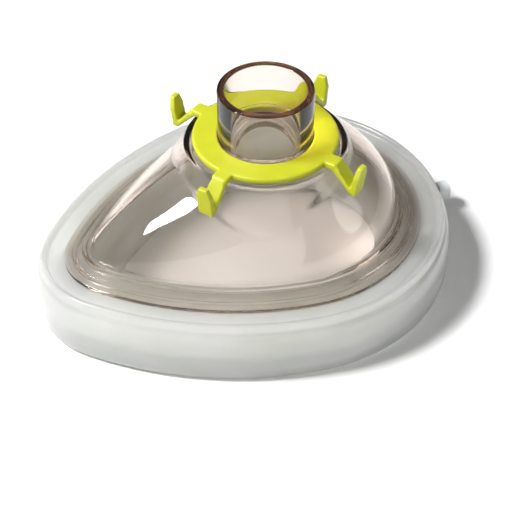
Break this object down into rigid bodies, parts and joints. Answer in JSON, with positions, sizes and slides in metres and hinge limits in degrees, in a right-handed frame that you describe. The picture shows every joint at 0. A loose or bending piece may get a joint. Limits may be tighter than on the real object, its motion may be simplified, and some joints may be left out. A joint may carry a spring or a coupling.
{
  "type": "inflatable cushion face mask for a bag valve mask",
  "caption": "Clear resuscitation face mask with an air-filled ring cushion, an inflation valve, a 22 mm port and a turning ring of harness hooks.",
  "frame": {"origin": "on the port's axis, in the plane that the cushion rests on, which is the plane of the face", "axes": "+Z along the port's axis, out of the port; +X towards the wide chin end, where the inflation valve is; the narrow nose end points to -X"},
  "size_m": [0.1292, 0.1, 0.061],
  "materials": {
    "tinted_clear": "clear, smoke tinted",
    "yellow_plastic": "satin, slightly translucent",
    "frosted_film": "frosted, translucent soft film",
    "frosted_tube": "frosted, translucent soft tube",
    "valve_plastic": "moulded, satin",
    "seal_rubber": "smooth",
    "plunger_plastic": "moulded, satin",
    "spring_steel": "drawn wire"
  },
  "bodies": {
    "mask": {"shell": "tinted_clear", "cushion": "frosted_film", "valve_sleeve": "frosted_tube", "valve_body": "valve_plastic", "valve_retainer": "valve_plastic", "valve_spring": "spring_steel"},
    "hook_ring": {"hook_ring": "yellow_plastic"},
    "valve_plunger": {"valve_plunger": "plunger_plastic", "valve_seal": "seal_rubber"}
  },
  "joints": [
    {"name": "hook_ring_swivel", "type": "hinge", "parent": "mask", "child": "hook_ring", "pos_m": [0, 0, 0.04515], "axis": [0, 0, 1], "continuous": true},
    {"name": "valve_plunger_slide", "type": "slide", "parent": "mask", "child": "valve_plunger", "axis": [-1, 0, 0], "range_m": [0, 0.0015], "stiffness_N_per_m": 200, "springref_m": -0.001, "deforming": ["valve_spring"]}
  ]
}
